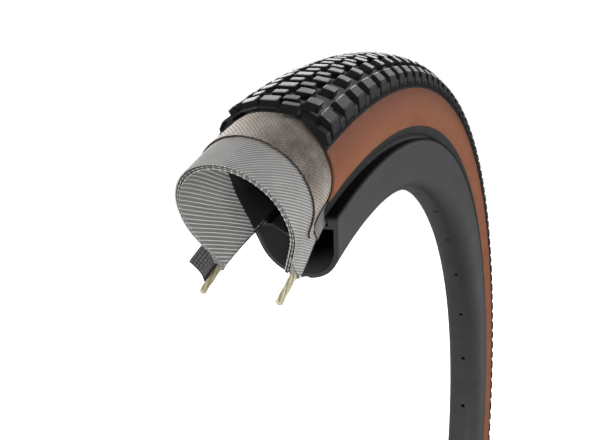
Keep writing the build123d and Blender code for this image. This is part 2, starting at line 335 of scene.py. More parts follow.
def node(tree, kind, inputs=None, **props):
    """A new shader node with these inputs and properties."""
    n = tree.nodes.new("ShaderNode" + kind)
    for key, value in props.items():
        setattr(n, key, value)
    set_inputs(tree, n, inputs or {})
    return n


def calc(tree, operation, *values):
    """Result of a Math node on one or two values, each a number or a socket."""
    return node(tree, "Math", dict(enumerate(values)), operation=operation).outputs[0]


def noise(tree, scale, detail=4.0, rough=0.6, coordinate=None):
    if coordinate is None:
        coordinate = node(tree, "TexCoord").outputs["Object"]
    return node(tree, "TexNoise", {
        "Scale": scale, "Detail": detail, "Roughness": rough, "Vector": coordinate,
    }).outputs["Fac"]


def ramp(tree, fac, stops):
    n = node(tree, "ValToRGB", {"Fac": fac})
    elements = n.color_ramp.elements
    while len(elements) < len(stops):
        elements.new(0.5)
    for element, (pos, color) in zip(elements, stops):
        element.position = pos
        element.color = (*color, 1)
    return n.outputs["Color"]


def blend_color(tree, fac, a, b):
    """From colour a to colour b by a factor; each colour is a tuple or a socket."""
    n = node(tree, "Mix", data_type="RGBA")
    tree.links.new(fac, n.inputs["Factor"])
    for name, value in (("A", a), ("B", b)):
        socket = [s for s in n.inputs if s.name == name and s.type == "RGBA"][0]
        if isinstance(value, tuple):
            socket.default_value = (*value, 1)
        else:
            tree.links.new(value, socket)
    return [s for s in n.outputs if s.type == "RGBA"][0]


def bump(tree, height, strength, distance):
    return node(tree, "Bump", {
        "Strength": strength, "Distance": distance, "Height": height,
    }).outputs["Normal"]


def spread_range(tree, fac, low, high, from_low=0.3, from_high=0.7):
    """Maps from_low to from_high, by default a noise's usual range, to low to high."""
    return node(tree, "MapRange", {
        "From Min": from_low, "From Max": from_high, "To Min": low, "To Max": high, "Value": fac,
    }).outputs["Result"]


def axes(tree, vector):
    """X, Y and Z of a vector."""
    return node(tree, "SeparateXYZ", {0: vector}).outputs


def new_material(name):
    mat = bpy.data.materials.new(name)
    mat.use_nodes = True
    return mat, mat.node_tree, mat.node_tree.nodes["Principled BSDF"]


def set_surface(tree, bsdf, color, roughness, normal, specular=0.5):
    set_inputs(tree, bsdf, {
        "Base Color": color, "Roughness": roughness, "Normal": normal,
        "Specular IOR Level": specular,
    })


def rubber(name, dark, light, rough_low, rough_high, scale=900, bump_distance=0.00008, gloss=0.5):
    """Mottled rubber with a fine grain; gloss is its specular level."""
    mat, tree, bsdf = new_material(name)
    fine = noise(tree, scale)
    broad = noise(tree, scale / 18, 3)
    speck = noise(tree, scale * 3, 2)
    color = ramp(tree, broad, [(0.3, dark), (0.75, light)])
    color = blend_color(tree, spread_range(tree, speck, 0.0, 0.35, 0.45, 0.7), color, light)
    roughness = spread_range(tree, fine, rough_low, rough_high)
    set_surface(tree, bsdf, color, roughness, bump(tree, fine, 0.5, bump_distance), gloss)
    return mat


def cloth_place(tree):
    """Runs across and round the casing in millimetres, kept as UVs."""
    return node(tree, "UVMap", uv_map="run").outputs["UV"]


def run_axes(tree, turn):
    """The cloth's two axes in millimetres, turned by degrees from the UVs, and their vector."""
    vector = node(tree, "Mapping", {
        "Rotation": (0, 0, math.radians(turn)), "Vector": cloth_place(tree),
    }).outputs["Vector"]
    x, y, _ = axes(tree, vector)
    return x, y, vector


def mixed(tree, *shares):
    """Sum of sockets, each with its share."""
    parts = [calc(tree, "MULTIPLY", socket, share) for socket, share in shares]
    total = parts[-1]
    for part in reversed(parts[:-1]):
        total = calc(tree, "ADD", part, total)
    return total


def wave(tree, axis, pitch):
    """Sine along an axis, half a wave to a pitch."""
    return calc(tree, "SINE", calc(tree, "MULTIPLY", axis, math.pi / pitch))


def ridge(tree, axis, pitch):
    """Rounded ribs across an axis, from 0 in the groove to 1 on top."""
    return calc(tree, "ABSOLUTE", wave(tree, axis, pitch))


def paint_front_shade(tree, color, dark, painted_shade, broad):
    """Painted shade: colour darkened over the front shoulder of the casing, less towards the bead.

    The shoulder and the bead are given as runs across the casing; the front is negative.
    """
    run = axes(tree, cloth_place(tree))["X"]
    shade_share = calc(
        tree, "MULTIPLY",
        spread_range(tree, run, 0.0, painted_shade, SHADE_START_RUN, SHADE_FULL_RUN),
        spread_range(tree, run, 1.0, SHADE_AT_BEAD, SHADE_FADE_RUN, SHADE_BEAD_RUN),
    )
    shade_share = calc(tree, "MULTIPLY", shade_share, spread_range(tree, broad, 0.88, 1.12))
    return blend_color(tree, shade_share, color, dark)


def woven(name, dark, light, pitch, turn, rough_low, rough_high, height, fray, painted_shade=0.0):
    """Plain-woven cloth, with threads that go over and under each other.

    fray is the share of loose fibre in its relief; painted_shade is how much painted shade darkens
    it over the front shoulder.
    """
    mat, tree, bsdf = new_material(name)
    x, y, vector = run_axes(tree, turn)
    warp, weft = ridge(tree, x, pitch), ridge(tree, y, pitch)
    checker = calc(tree, "MULTIPLY", wave(tree, x, pitch), wave(tree, y, pitch))
    over = spread_range(tree, checker, 0.0, 1.0, -0.25, 0.25)
    weave = node(tree, "Mix", {0: over, 2: warp, 3: weft}, data_type="FLOAT").outputs[0]
    loose = noise(tree, 2.2, 5, 0.7, vector)
    broad = noise(tree, 0.16, 3, 0.5, vector)
    level = mixed(tree, (weave, 1 - fray), (loose, fray))
    color = ramp(tree, level, [(0.15, dark), (0.85, light)])
    color = blend_color(tree, spread_range(tree, broad, 0.0, 0.22, 0.4, 0.7), color, dark)
    if painted_shade:
        color = paint_front_shade(tree, color, dark, painted_shade, broad)
    roughness = spread_range(tree, loose, rough_low, rough_high)
    set_surface(tree, bsdf, color, roughness, bump(tree, level, 0.8, height))
    bsdf.inputs["Sheen Weight"].default_value = 0.15
    return mat


def threads(name, dark, light, pitch, turn, rough, height, painted_shade=0.0):
    """Parallel fine yarns along a cord, slightly twisted; painted_shade is the painted shade, as
    for woven cloth.
    """
    mat, tree, bsdf = new_material(name)
    x, y, vector = run_axes(tree, turn)
    yarn = ridge(tree, x, pitch)
    slanted = calc(tree, "ADD", x, calc(tree, "MULTIPLY", y, 0.8))
    twist = ridge(tree, slanted, pitch * 1.3)
    loose = noise(tree, 3.0, 5, 0.7, vector)
    broad = noise(tree, 0.12, 3, 0.5, vector)
    level = mixed(tree, (yarn, 0.4), (twist, 0.3), (loose, 0.3))
    color = ramp(tree, level, [(0.2, dark), (0.8, light)])
    color = blend_color(tree, spread_range(tree, broad, 0.0, 0.3, 0.4, 0.7), color, dark)
    if painted_shade:
        color = paint_front_shade(tree, color, tuple(0.4 * c for c in dark), painted_shade, broad)
    roughness = spread_range(tree, loose, rough - 0.08, rough + 0.1)
    set_surface(tree, bsdf, color, roughness, bump(tree, level, 0.6, height))
    return mat


def wheel_radius(tree):
    """Distance from the wheel's axle, in metres."""
    place = axes(tree, node(tree, "TexCoord").outputs["Object"])
    squares = [calc(tree, "MULTIPLY", place[k], place[k]) for k in ("X", "Z")]
    return calc(tree, "SQRT", calc(tree, "ADD", *squares))


def tan_sidewall(name):
    """Tan rubber with painted shade that darkens it towards the tread, and faint rings from its
    mould.
    """
    mat, tree, bsdf = new_material(name)
    radius = wheel_radius(tree)
    # Painted shade: the tan darkens from the bead side towards the tread
    height = spread_range(tree, radius, 0.0, 1.0, *TAN_SHADE_RADII)
    color = ramp(tree, height, [
        (0.0, (0.3, 0.122, 0.066)),
        (0.3, (0.268, 0.104, 0.056)),
        (0.75, (0.122, 0.038, 0.017)),
    ])
    broad = noise(tree, 60, 3)
    fine = noise(tree, 1400)
    patches = spread_range(tree, broad, 0.0, 0.4, 0.4, 0.7)
    color = blend_color(tree, patches, color, (0.19, 0.067, 0.034))
    rings = wave(tree, radius, MOULD_RING_PITCH / 2)
    level = calc(tree, "ADD", calc(tree, "MULTIPLY", rings, 0.12), fine)
    roughness = spread_range(tree, fine, 0.5, 0.68)
    set_surface(tree, bsdf, color, roughness, bump(tree, level, 0.4, 0.00006), 0.14)
    return mat


def carbon(name):
    """Satin carbon, faintly marbled under its lacquer, with a painted shadow of the tyre, black
    and without reflection, on its flanges.
    """
    mat, tree, bsdf = new_material(name)
    broad = noise(tree, 45, 3)
    fine = noise(tree, 1500)
    marble = noise(tree, 160, 5, 0.75)
    color = ramp(tree, broad, [(0.3, (0.048, 0.048, 0.0485)), (0.75, (0.064, 0.064, 0.065))])
    veins = spread_range(tree, marble, 0.0, 0.3, 0.45, 0.7)
    color = blend_color(tree, veins, color, (0.078, 0.078, 0.08))
    # Painted shadow: the flange tops go black and lose their specular where the tyre shades them
    flange_shadow = spread_range(tree, wheel_radius(tree), 0.0, 1.0, *FLANGE_SHADOW_RADII)
    color = blend_color(tree, flange_shadow, color, (0.006, 0.006, 0.0065))
    specular = spread_range(tree, flange_shadow, 0.5, 0.02, 0.0, 1.0)
    roughness = spread_range(tree, fine, 0.34, 0.42)
    set_surface(tree, bsdf, color, roughness, bump(tree, fine, 0.4, 0.00003), specular)
    return mat


carbon_mat = carbon("carbon")
# The tread is one black rubber drawn as lit and shaded copies: painted light on the block tops,
# shoulder tops and floor between blocks, painted shade on the block walls and shoulder sides
tread_wall_shaded = rubber(
    "tread_wall_shaded_rubber", (0.009, 0.009, 0.0095), (0.015, 0.015, 0.0155), 0.42, 0.56, gloss=0.08
)
tread_top_lit = rubber(
    "tread_top_lit_rubber", (0.062, 0.0625, 0.0635), (0.1, 0.1005, 0.102), 0.4, 0.48,
    1800, 0.00001, 0.44,
)
tread_floor_lit = rubber(
    "tread_floor_lit_rubber", (0.1, 0.1, 0.101), (0.13, 0.13, 0.131), 0.4, 0.52, gloss=0.45
)
tread_edge_highlight = rubber("tread_edge_highlight_rubber", (0.09, 0.091, 0.094), (0.15, 0.152, 0.156), 0.28, 0.4)
shoulder_shaded = rubber(
    "tread_shoulder_shaded_rubber", (0.019, 0.019, 0.0195), (0.029, 0.029, 0.0295), 0.42, 0.54, gloss=0.12
)
shoulder_top_lit = rubber(
    "tread_shoulder_top_lit_rubber", (0.046, 0.046, 0.047), (0.062, 0.062, 0.063), 0.4, 0.52, gloss=0.3
)
cut_rubber = rubber("cut_rubber", (0.006, 0.006, 0.006), (0.014, 0.014, 0.014), 0.5, 0.7, 2500)
sidewall_mat = tan_sidewall("sidewall_rubber")
bead_mat = rubber(
    "bead_rubber", (0.026, 0.026, 0.0265), (0.038, 0.038, 0.0385), 0.4, 0.55, gloss=0.3
)
liner_mat = rubber("liner_rubber", (0.026, 0.026, 0.026), (0.042, 0.042, 0.042), 0.4, 0.55)
# The ply threads, ply skim and breaker cloth carry painted shade over the casing's front shoulder
thread_mat = threads(
    "ply_thread", (0.4, 0.394, 0.384), (0.66, 0.652, 0.638), 0.25, 45, 0.55, 0.00006, 0.46
)
inner_thread_mat = threads(
    "ply_inner_thread", (0.68, 0.675, 0.66), (0.9, 0.895, 0.88), 0.25, -45, 0.55, 0.00006
)
skim_mat = threads(
    "ply_skim", (0.175, 0.172, 0.167), (0.33, 0.325, 0.316), 0.34, 45, 0.6, 0.00008, 0.4
)
inner_skim_mat = threads(
    "ply_inner_skim", (0.19, 0.187, 0.18), (0.39, 0.385, 0.372), 0.34, -45, 0.6, 0.00008
)
cord_end_mat = rubber("cord_end", (0.6, 0.59, 0.57), (0.85, 0.84, 0.82), 0.6, 0.8, 4000)
skim_end_mat = rubber("skim_end", (0.3, 0.29, 0.28), (0.5, 0.49, 0.47), 0.6, 0.8, 4000)
breaker_mat = woven(
    "breaker_weave", (0.066, 0.044, 0.031), (0.83, 0.735, 0.65), 1.15, 45, 0.55, 0.75,
    0.0005, 0.15, 0.92,
)
frayed_mat = rubber("frayed_edge", (0.03, 0.02, 0.014), (0.08, 0.06, 0.045), 0.6, 0.8, 3000)
chafer_strip = rubber("chafer_strip", (0.13, 0.13, 0.13), (0.2, 0.2, 0.198), 0.4, 0.55, 1400)
chafer_weave = woven(
    "chafer_weave", (0.003, 0.003, 0.003), (0.19, 0.183, 0.183), 1.45, 0, 0.45, 0.6, 0.0006, 0.1
)
fibre_mat = rubber("bead_fibre", (0.3, 0.275, 0.165), (0.54, 0.5, 0.34), 0.35, 0.55, 3000, 0.00005)
fibre_end = rubber("bead_fibre_end", (0.7, 0.66, 0.42), (0.9, 0.86, 0.6), 0.4, 0.6, 4000, 0.00005)
tape_mat = rubber("tape", (0.03, 0.03, 0.03), (0.045, 0.045, 0.045), 0.3, 0.4)

for name, mat in {
    "sidewall_front": sidewall_mat,
    "sidewall_rear": sidewall_mat,
    "bead_band_front": bead_mat,
    "bead_band_rear": bead_mat,
    "rim": carbon_mat,
    "rim_tape": tape_mat,
}.items():
    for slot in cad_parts[name].material_slots:
        slot.material = mat

# ---- layers of the casing
COVERED = COVER_ANGLE - PITCH_ANGLE * np.arange(PITCH_COUNT + 1)
PLAIN_STEP = 1.2  # millimetres between the columns of a plain layer
PLY_RING_STEP = 0.28  # degrees between the rings of a ply
SLANT_POWER = 1.3
SLANT_FADE = 6
# Material slots of a ply
THREAD, SKIM, CUT, CORD_END, SKIM_END = range(5)


def rings_between(start, stop, step):
    """Angles from start to stop, about a step apart."""
    return np.linspace(start, stop, max(2, int(abs(start - stop) / step) + 1))


def covered_rings(start):
    """Rings from a start angle, where it passes under the cover, to the flush end."""
    return np.concatenate([rings_between(start, COVER_ANGLE + 0.1, 0.6), COVERED])


def plain_layer(build, path, start, inner, outer, slot=0, end_slot=None, slant=0.0):
    """Closed layer without relief, from its start angle to the flush end.

    end_slot is for its two ends round the wheel; slant is how many degrees nearer the cut it
    starts at its rear edge.
    """
    count = int((path.run[-1] - path.run[0]) / PLAIN_STEP)
    run = np.unique(np.concatenate([np.linspace(path.run[0], path.run[-1], count), path.run]))
    rings = covered_rings(start)[:, None]
    early = slant * np.clip(run / run[-1] / 0.4 - 1.5, 0, 1) ** SLANT_POWER
    rings = rings + early[None, :] * np.clip((rings - start) / SLANT_FADE + 1, 0, 1)
    end_slot = slot if end_slot is None else end_slot
    faces = np.array([inner, outer])
    for outset in faces:
        build.path_grid(rings, path, run[None, :], outset, slot)
    for end in (0, -1):
        build.path_grid(rings[:, end, None], path, run[end], faces[None, :], slot)
        build.path_grid(rings[end], path, run[None, :], faces[:, None], end_slot)


def ribbed_layer(build, path, start, stop, top, bottom, bias, pitch, profile, slots, cut, side=1):
    """Exposed cord layer: relief on both faces, with its cord rows showing at the cut edge.

    bias is the run of a cord per degree round the wheel; profile lists one pitch of relief;
    slots gives a slot to each step of it; cut lists the rows of the cut edge, each with two
    outsets, a slot and how far it lies back; side mirrors the path.
    """
    columns = len(profile)
    rings = rings_between(start, stop, PLY_RING_STEP)
    slack = abs(bias) * (start - stop) + pitch
    low, high = path.run[0], path.run[-1]
    count = int((high - low + 2 * slack) / pitch) + 1
    phase = np.arange(count * columns + 1)
    base = low - slack + phase * pitch / columns
    relief = np.array(profile)[phase % columns]
    column_slots = np.array(slots)[phase[:-1] % columns]
    shift = bias * (rings - start)
    run = np.clip(base[None, :] + shift[:, None], low, high)
    for outset, sign in ((top, 1), (bottom, -1)):
        outsets = outset + sign * relief[None, :]
        build.path_grid(rings[:, None], path, run, outsets, column_slots[None, :], side)
    for ring, outward in ((0, 1), (-1, 0)):
        edge_outsets, edge_steps, edge_slots = [], [], []
        for from_outset, to_outset, kind, recess in cut:
            edge_outsets += [from_outset, to_outset]
            edge_steps += [recess, recess]
            edge_slots += [kind, cut[0][2]]
        outsets = np.array(edge_outsets)[:, None] + 0 * run[ring][None, :]
        outsets[0] += relief
        outsets[-1] -= relief
        steps = np.degrees(np.array(edge_steps) / CASING_CENTRE)[:, None] * outward
        rows = np.array(edge_slots[:-1])[:, None]
        ends = np.where(column_slots == THREAD, CORD_END, SKIM_END)[None, :]
        kinds = np.where(rows == THREAD, ends, rows)
        build.path_grid(rings[ring] - steps, path, run[None, ring], outsets, kinds, side)
    for end in (0, -1):
        faces = np.array([[top, bottom]])
        build.path_grid(rings[:, None], path, run[:, end, None], faces, CUT, side)


BIAS = math.radians(1) * CASING_CENTRE
OUTER_PITCH = 1.42
OUTER_PROFILE = (-0.14, -0.02, 0.02, -0.02, -0.14, -0.2)
OUTER_SLOTS = (SKIM, THREAD, THREAD, SKIM, SKIM, SKIM)
OUTER_CUT = ((0.0, -0.34, THREAD, 0.0), (-0.36, -0.84, CUT, 0.3))
LEG_PLY_OUTER = -0.45
SKIN_STOP = CHAFER_FRONT_ANGLE - 0.3
TURN_UP_ROWS, TURN_UP_COLUMNS = 72, 12
TURN_UP_BULGE = 0.8
SWELL_ANGLE = 40
WRAP_SAMPLES, LEG_SAMPLES, SKIN_SAMPLES = 25, 9, 200
SKIN_INSET, SKIN_LENGTH = 0.1, 30
outer_ply = Builder(open_end=True)
ribbed_layer(
    outer_ply, skin_path, CASING_ANGLE, SKIN_STOP, 0.0, -PLY_THICKNESS,
    BIAS, OUTER_PITCH, OUTER_PROFILE, OUTER_SLOTS, OUTER_CUT,
)
leg_from = LEG_TOP + (SKIN_RUN - 0.6) * LEG_DOWN
leg_line = Path([line_piece(leg_from, LEG_TOP + LEG_LENGTH * LEG_DOWN, LEG_NORMAL_VECTOR)])
for side in (-1, 1):
    ribbed_layer(
        outer_ply, leg_line, CASING_ANGLE, SKIN_STOP, LEG_PLY_OUTER, -PLY_THICKNESS,
        side * BIAS, OUTER_PITCH, OUTER_PROFILE, OUTER_SLOTS, OUTER_CUT, side,
    )
    # The turned-up cloth closes the end of the bead, in rows that each keep to one radius
    sweep = np.linspace(LEG_NORMAL + 180, 270, WRAP_SAMPLES)
    swell = WRAP_RADIUS + PLY_THICKNESS * np.clip((sweep - sweep[0]) / SWELL_ANGLE, 0, 1)
    under = np.array([BEAD + far * unit(angle) for far, angle in zip(swell, sweep)])
    leg = LEG_TOP + np.linspace(SKIN_RUN, LEG_LENGTH, LEG_SAMPLES)[:, None] * LEG_DOWN
    inside = np.concatenate([leg, under[1:]])
    skin_line = Path(bead_skin(0.0, WRAP_RADIUS + PLY_THICKNESS, -90, SKIN_RUN))
    skin_runs = np.linspace(SKIN_RUN, SKIN_RUN + SKIN_LENGTH, SKIN_SAMPLES)
    skin = np.array(skin_line.at(skin_runs, -SKIN_INSET)).T
    rows = np.linspace(inside[0, 1] - 0.05, inside[-1, 1] + 0.02, TURN_UP_ROWS + 1)
    share = np.linspace(0, 1, TURN_UP_COLUMNS + 1)[None, :]
    from_across = np.interp(rows, inside[::-1, 1], inside[::-1, 0])[:, None]
    to_across = np.interp(rows, skin[::-1, 1], skin[::-1, 0])[:, None]
    across = from_across + (to_across - from_across) * share
    width = np.clip(to_across - from_across, 0, 2) / 2
    bulge = TURN_UP_BULGE * np.sin(math.pi * share) ** 0.7 * width
    row = np.arange(TURN_UP_ROWS + 1) % len(OUTER_PROFILE)
    relief = np.array(OUTER_PROFILE)[row][:, None]
    theta = CASING_ANGLE + np.degrees((bulge * 0.5 + relief) / CASING_CENTRE)
    kinds = np.array(OUTER_SLOTS)[row[:-1]][:, None]
    outer_ply.grid(theta, side * across, rows[:, None], kinds, TURN_UP_COLUMNS * share)
plain_layer(outer_ply, outer_ply_path, SKIN_STOP, -PLY_THICKNESS, -0.02, CUT, SKIM)
outer_ply = outer_ply.make(
    "outer_ply_cloth", [thread_mat, skim_mat, cut_rubber, cord_end_mat, skim_end_mat]
)
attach(outer_ply, "root")
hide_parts("outer_casing_ply")

INNER_PITCH = 2.3
INNER_PROFILE = (-0.06, 0.05, 0.05, -0.06, -0.18, -0.12, -0.18, -0.12, -0.18, -0.12, -0.18)
INNER_SLOTS = (THREAD,) * 3 + (SKIM,) * 8
INNER_CUT = ((-0.88, -1.18, THREAD, 0.0), (-1.2, -1.66, CUT, 0.3), (-1.68, -2.05, THREAD, 0.0))
INNER_OUTER, INNER_COVERED_INNER, INNER_BARE_INNER = -0.85, -1.65, -2.05
INNER_STOP = LINER_ANGLE + 0.03
inner_path = casing_path(LEG_LENGTH + 1.0)
inner_ply = Builder(open_end=True)
ribbed_layer(
    inner_ply, inner_path, CASING_ANGLE, INNER_STOP, INNER_OUTER, INNER_BARE_INNER,
    -BIAS, INNER_PITCH, INNER_PROFILE, INNER_SLOTS, INNER_CUT,
)
plain_layer(inner_ply, inner_path, INNER_STOP, INNER_COVERED_INNER, INNER_OUTER, CUT, SKIM)
inner_ply = inner_ply.make(
    "inner_ply_cloth", [inner_thread_mat, inner_skim_mat, cut_rubber, cord_end_mat, skim_end_mat]
)
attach(inner_ply, "root")
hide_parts("inner_casing_ply")

LINER_INNER, LINER_OUTER, LINER_SLANT = -2.3, -1.7, 1.4
liner = Builder(open_end=True)
plain_layer(
    liner, casing_path(LEG_LENGTH + 0.5), LINER_ANGLE, LINER_INNER, LINER_OUTER,
    slant=LINER_SLANT,
)
liner = liner.make("air_liner", [liner_mat])
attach(liner, "root")
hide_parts("inner_liner")

# Breaker: woven cloth with a ragged cut edge and loose fibres along it
BREAKER_STEP = 0.28
BREAKER_CURVE_POINTS = 8
BREAKER_STOP = COVER_ANGLE - 0.3
FIBRE_COUNT = 260
EDGE_LIFT = 0.06
CLOTH, FRAYED = range(2)
rng = np.random.default_rng(7)
breaker = Builder(open_end=True)
path = symmetric([CROWN_ARC, skin_side[0], tuple(p[:BREAKER_CURVE_POINTS] for p in skin_side[1])])
run = np.arange(path.run[0], path.run[-1] + 0.01, BREAKER_STEP)
run[-1] = path.run[-1]
rings = rings_between(BREAKER_ANGLE, BREAKER_STOP, 0.3)
ragged = rng.normal(0, 0.03, len(run)) + 0.012 * np.sin(run * 0.8) + 0.012 * np.sin(run * 2.1)
theta = rings[:, None] + ragged[None, :] * (np.arange(len(rings)) == 0)[:, None]
lift = EDGE_LIFT * np.clip((theta - BREAKER_ANGLE + 0.5) / 0.5, 0, 1)
for outset in (BREAKER_OUTER + lift, BREAKER_INNER):
    breaker.path_grid(theta, path, run[None, :], outset, CLOTH)
outsets = np.stack([BREAKER_INNER + 0 * run, BREAKER_OUTER + lift[0]])
breaker.path_grid(theta[:1], path, run[None, :], outsets, FRAYED)
plain_layer(breaker, casing_path(BREAKER_LEG), BREAKER_STOP, BREAKER_INNER, BREAKER_OUTER)
for _ in range(FIBRE_COUNT):
    place = rng.uniform(path.run[0] + 0.5, path.run[-1] - 0.5)
    lean, reach, width = rng.normal(0, 0.35), rng.uniform(0.15, 0.6), rng.uniform(0.05, 0.11)
    rise = rng.uniform(0.25, 0.7)
    angle = BREAKER_ANGLE - 0.03 + np.degrees(np.array([0, reach * 0.6, reach]) / CASING_CENTRE)
    place = place + lean * np.array([0, 0.5, 1.0])
    for offset in (-width, width):
        fibre = path.at((place + offset)[:, None] + np.array([[0, -offset]]), rise)
        breaker.grid(angle[:, None], *fibre, FRAYED, place[:, None])
breaker = breaker.make("breaker_cloth", [breaker_mat, frayed_mat])
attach(breaker, "root")
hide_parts("breaker_ply")


# ---- beads: fillers, chafers, cords
FIBRE, FIBRE_END = range(2)
STRAND_RADIUS = 0.5
STRAND_SWING = 0.8
STRAND_COUNT = 6  # one in the middle and five round it
TWIST_ANGLE = 5.5  # degrees round the wheel for one turn of the strands
CORE_STEP, STRAND_STEP = 2.3, 0.09
CORE_SIDES, STRAND_SIDES = 14, 9


def tube(build, centres, thickness, sides):
    """Round tube of a radius along world points, in millimetres, with capped ends."""
    tangents = np.gradient(centres, axis=0)
    tangents /= np.linalg.norm(tangents, axis=1)[:, None]
    aside = np.cross(tangents, AXLE)
    aside /= np.linalg.norm(aside, axis=1)[:, None]
    along = np.cross(aside, tangents)
    angles = np.linspace(0, 2 * math.pi, sides + 1)
    cosines, sines = np.cos(angles)[None, :, None], np.sin(angles)[None, :, None]
    world = centres[:, None] + thickness * (cosines * aside[:, None] + sines * along[:, None])
    uv = np.stack(np.broadcast_arrays(angles[None, :], lengths_along(centres)[:, None]), -1)
    build.world_grid(world * MM, uv, FIBRE)
    for end in (0, -1):
        build.polygon(world[end, :-1] * MM, FIBRE_END)


def bead_line(side, theta, swing, angle):
    """World points beside the bead's middle line, at a swing from it, in millimetres."""
    middle = splay(theta, BEAD[1], side * BEAD[0])
    radius = BEAD[1] + swing * np.sin(angle)
    return to_world(theta, radius, middle + swing * np.cos(angle)) / MM


for name, side in (("front", -1), ("rear", 1)):
    cord = Builder()
    theta = rings_between(CASING_ANGLE - 0.8, END_ANGLE, CORE_STEP)
    tube(cord, bead_line(side, theta, 0.0, 0.0), BEAD_CORD_RADIUS, CORE_SIDES)
    theta = rings_between(BEAD_CORD_ANGLE, CASING_ANGLE - 1.0, STRAND_STEP)
    turn = np.radians((theta - CASING_ANGLE) * 360 / TWIST_ANGLE)
    loosen = 1 + 0.06 * np.clip((theta - BEAD_CORD_ANGLE + 0.5) / 0.5, 0, 1)
    for strand in range(STRAND_COUNT):
        swing = (0.0 if strand == STRAND_COUNT - 1 else STRAND_SWING) * loosen
        angle = turn + strand * 2 * math.pi / (STRAND_COUNT - 1)
        ends = theta.copy()
        ends[0] += rng.uniform(-0.04, 0.0)
        tube(cord, bead_line(side, ends, swing, angle), STRAND_RADIUS, STRAND_SIDES)
    cord = cord.make(f"bead_strands_{name}", [fibre_mat, fibre_end])
    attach(cord, "root")
    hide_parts(f"bead_cord_{name}")

    # Filler wedge between the leg and the turn-up
    face = BEAD[0] + WRAP_RADIUS - BOND_GAP
    inside_leg = LEG_TOP + BOND_GAP * LEG_NORMAL_VECTOR
    top = BEAD[1] + FILLER_HEIGHT
    corner = inside_leg + (inside_leg[1] - top) / -LEG_DOWN[1] * LEG_DOWN
    sweep = np.radians(np.linspace(0, LEG_NORMAL + 180, 12))
    around = BEAD + WRAP_RADIUS * np.stack([np.cos(sweep), np.sin(sweep)], -1)
    outline = np.array([corner, (face, top), *around, corner]) * (side, 1)
    filler = Builder(open_end=True)
    rings = covered_rings(CASING_ANGLE - 0.3)[:, None]
    filler.grid(rings, outline[None, :, 0], outline[None, :, 1], 0)
    for ring in (rings[0], rings[-1]):
        theta = np.full(len(outline) - 1, ring[0])
        across = splay(theta, outline[:-1, 1], outline[:-1, 0])
        filler.polygon(to_world(theta, outline[:-1, 1], across), 0)
    filler = filler.make(f"filler_wedge_{name}", [bead_mat])
    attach(filler, "root")
    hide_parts(f"bead_filler_{name}")

# Front chafer: a smooth strip. Rear chafer: a coarse woven strip, cut narrower where it is bare.
# Each shows its cloth only on the part that stands out of the cover; under the cover it takes dark
# rubber as painted shade.
CHAFER_TOP = SIDEWALL_SKIRT + 0.3
CHAFER_TOE_RUN = 4.2
BARE_CLOTH, CUT_AND_SHADE = range(2)
chafer_path = Path([
    (points[::-1], normals[::-1])
    for points, normals in reversed(
        bead_skin(COVER_INNER, BEAD_RADIUS - CHAFER_THICKNESS, CHAFER_TOE_ANGLE - 360, CHAFER_TOP)
    )
])
chafer_faces = np.array([0.0, CHAFER_THICKNESS])
chafer_columns = np.arange(chafer_path.run[0], chafer_path.run[-1], 0.5)
run = np.unique(np.concatenate([chafer_columns, chafer_path.run]))
for name, side, start in (("front", -1, CHAFER_FRONT_ANGLE), ("rear", 1, CHAFER_REAR_ANGLE)):
    chafer = Builder(open_end=True)
    rings = np.unique(np.append(covered_rings(start), COVER_ANGLE))[::-1, None]
    # Painted shade: rings under the cover take the dark cut rubber
    shade = np.where(rings[1:] < COVER_ANGLE - 0.01, CUT_AND_SHADE, BARE_CLOTH)
    trim = np.clip((rings - LINER_ANGLE) / 0.4, 0, 1) * CHAFER_TOE_RUN * (side > 0)
    place = np.maximum(run[None, :], chafer_path.run[0] + trim)
    for outset in chafer_faces:
        chafer.path_grid(rings, chafer_path, place, outset, shade, side)
    for end in (0, -1):
        rows, columns = place[:, end, None], place[None, end]
        chafer.path_grid(rings, chafer_path, rows, chafer_faces[None, :], CUT_AND_SHADE, side)
        chafer.path_grid(rings[end], chafer_path, columns, chafer_faces[:, None], CUT_AND_SHADE, side)
    face_mat = chafer_strip if side < 0 else chafer_weave
    chafer = chafer.make(f"chafer_cloth_{name}", [face_mat, cut_rubber])
    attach(chafer, "root")
    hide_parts(f"chafer_{name}")

# ---- tread
PITCH_LEAD = 0.5
BLOCK_DRAFT = math.tan(math.radians(7))
CHAMFER = 0.26
BLOCK_CORNER, RIB_CORNER, RIB_END = 0.42, 0.4, 0.4
RIB_INSET = 0.42
CUT_BEVEL = 0.12
FLOOR_EDGE = 62
TREAD_COLUMNS = 60
DIP_DEPTH, DIP_AT, DIP_WIDTH = 0.36, 33, 13
# Slots of the tread shell and of its blocks
SHELL_WALL, SHELL_FLOOR, SHELL_CUT = range(3)
WALL, TOP, FLOOR, EDGE_HIGHLIGHT, RIB_SIDE, RIB_TOP = range(6)
# crown angle, height of the rubber between the blocks over the breaker
TREAD_BASE = ((0, 1.3), (18.5, 1.4), (34, 1.8), (47, 2.2), (61, 2.6), (TREAD_EDGE, 1.3))
# crown angle, angle round, width, length, lean, height of the top over the breaker
BLOCKS = (
    (9.0, 0.0, 6.6, 4.2, 0.5, 4.3),
    (9.8, -1.12, 5.2, 3.2, 0.9, 4.3),
    (22.8, -0.55, 4.6, 3.2, 2.4, 4.6),
    (26.9, 0.43, 5.2, 4.4, 2.5, 4.7),
    (38.8, -1.13, 4.4, 4.4, 2.4, 5.3),
)
